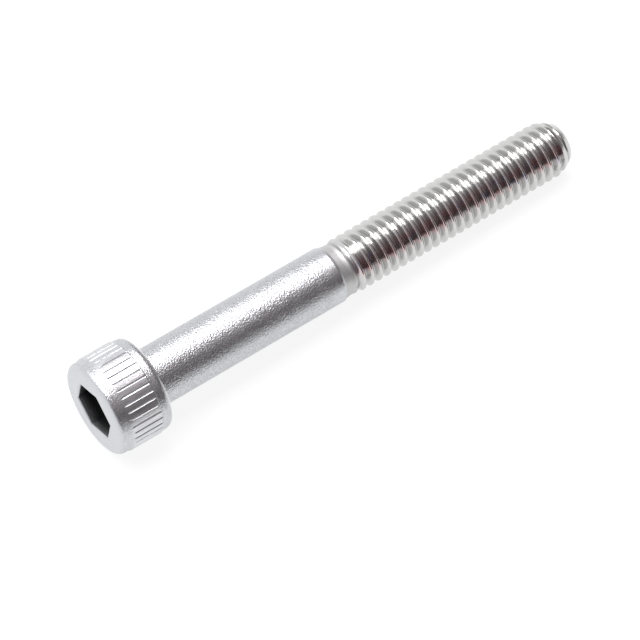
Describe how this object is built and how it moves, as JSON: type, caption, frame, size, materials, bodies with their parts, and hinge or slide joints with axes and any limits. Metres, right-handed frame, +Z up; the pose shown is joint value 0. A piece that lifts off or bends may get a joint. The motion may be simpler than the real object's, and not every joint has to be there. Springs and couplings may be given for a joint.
{
  "type": "hex socket cap screw",
  "caption": "Metric cap screw with a knurled cylindrical head, a hexagonal socket, a plain shank and a rolled thread with a tapered point, lying on its side.",
  "frame": {"origin": "on the ground, under the middle of the screw's bounding box", "axes": "+X along the screw from the head towards the point, which dips 2.4 degrees below level because the head is wider than the thread; +Y across the screw; +Z up"},
  "size_m": [0.0562, 0.01, 0.0101],
  "materials": {
    "zinc_steel": "bright zinc plating, satin, slightly grained on the shank and shinier on the rolled thread"
  },
  "bodies": {
    "root": {"cap_screw": "zinc_steel"}
  },
  "joints": []
}
